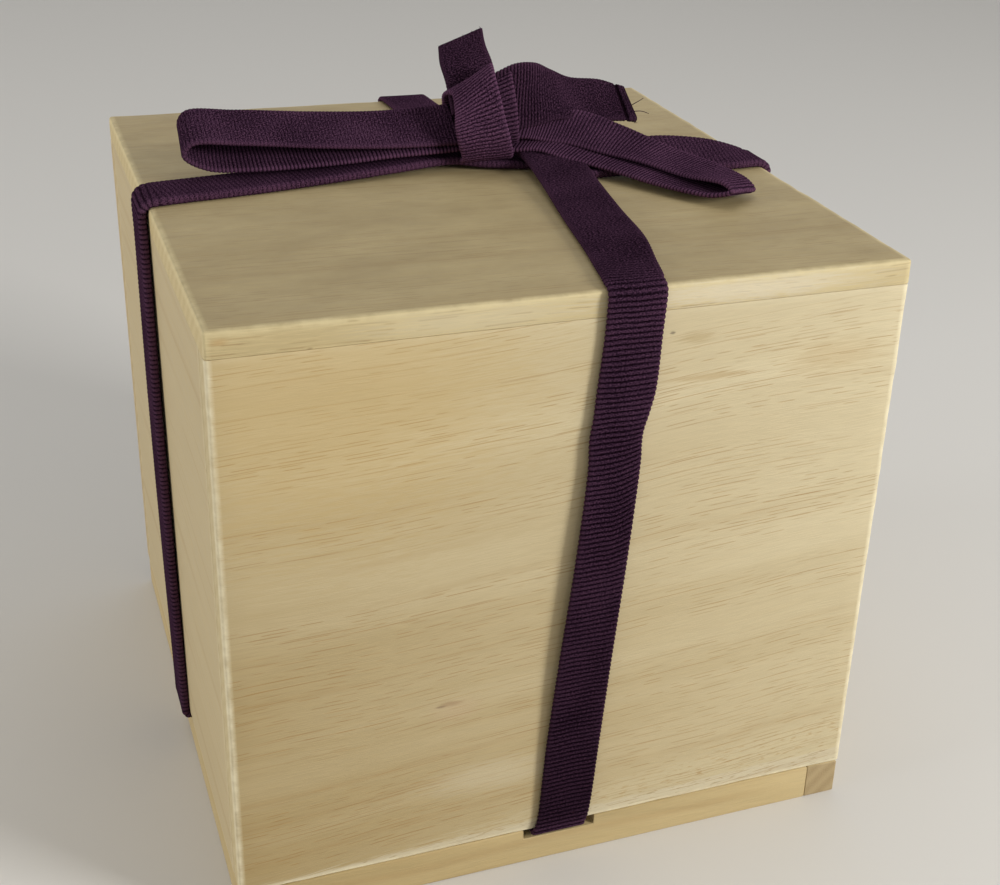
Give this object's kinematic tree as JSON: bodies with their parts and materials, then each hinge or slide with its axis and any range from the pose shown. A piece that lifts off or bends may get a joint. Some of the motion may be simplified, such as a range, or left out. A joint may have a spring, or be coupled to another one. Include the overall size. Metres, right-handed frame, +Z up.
{
  "type": "storage box",
  "caption": "Cube-shaped wooden storage box on a notched base rim, with a battened lift-off lid, tied both ways round with a flat ribbed tape and a bow.",
  "frame": {"origin": "middle of the underside, on the surface that the box stands on", "axes": "+X along the front from left to right, +Y from front to back, +Z up"},
  "size_m": [0.1794, 0.1808, 0.2],
  "materials": {
    "board_wood": "planed, unfinished paulownia, matte with a faint silky sheen",
    "rim_wood": "planed, unfinished paulownia, a little yellower, end grain at the corners",
    "peg_wood": "whittled hardwood pegs, cut flush",
    "ribbed_tape": "woven flat cotton tape with fine cross ribs, matte"
  },
  "bodies": {
    "box": {"back_wall": "board_wood", "bottom_board": "board_wood", "front_wall": "board_wood", "left_wall": "board_wood", "right_wall": "board_wood", "rim_peg_back_1": "peg_wood", "rim_peg_back_2": "peg_wood", "rim_peg_front_1": "peg_wood", "rim_peg_front_2": "peg_wood", "rim_peg_left_1": "peg_wood", "rim_peg_left_2": "peg_wood", "rim_peg_right_1": "peg_wood", "rim_peg_right_2": "peg_wood", "rim_strip_back": "rim_wood", "rim_strip_front": "rim_wood", "rim_strip_left": "rim_wood", "rim_strip_right": "rim_wood", "tape_leg_back": "ribbed_tape", "tape_leg_front": "ribbed_tape", "tape_leg_left": "ribbed_tape", "tape_leg_right": "ribbed_tape", "tape_under_front_to_back": "ribbed_tape", "tape_under_left_to_right": "ribbed_tape"},
    "lid": {"batten_peg_back_1": "peg_wood", "batten_peg_back_2": "peg_wood", "batten_peg_front_1": "peg_wood", "batten_peg_front_2": "peg_wood", "batten_peg_left_1": "peg_wood", "batten_peg_left_2": "peg_wood", "batten_peg_right_1": "peg_wood", "batten_peg_right_2": "peg_wood", "bow_loop_left": "ribbed_tape", "bow_loop_right": "ribbed_tape", "bow_tail_lying": "ribbed_tape", "bow_tail_standing": "ribbed_tape", "knot_core": "ribbed_tape", "knot_fold": "ribbed_tape", "knot_wrap": "ribbed_tape", "lid_batten_back": "board_wood", "lid_batten_front": "board_wood", "lid_batten_left": "board_wood", "lid_batten_right": "board_wood", "lid_board": "board_wood", "tape_over_lid_back": "ribbed_tape", "tape_over_lid_front": "ribbed_tape", "tape_over_lid_left": "ribbed_tape", "tape_over_lid_right": "ribbed_tape"}
  },
  "joints": [
    {"name": "lid_lift", "type": "slide", "parent": "box", "child": "lid", "axis": [0, 0, 1], "range_m": [0, 0.06], "deforming": ["tape_leg_left", "tape_leg_right", "tape_leg_front", "tape_leg_back"]}
  ]
}
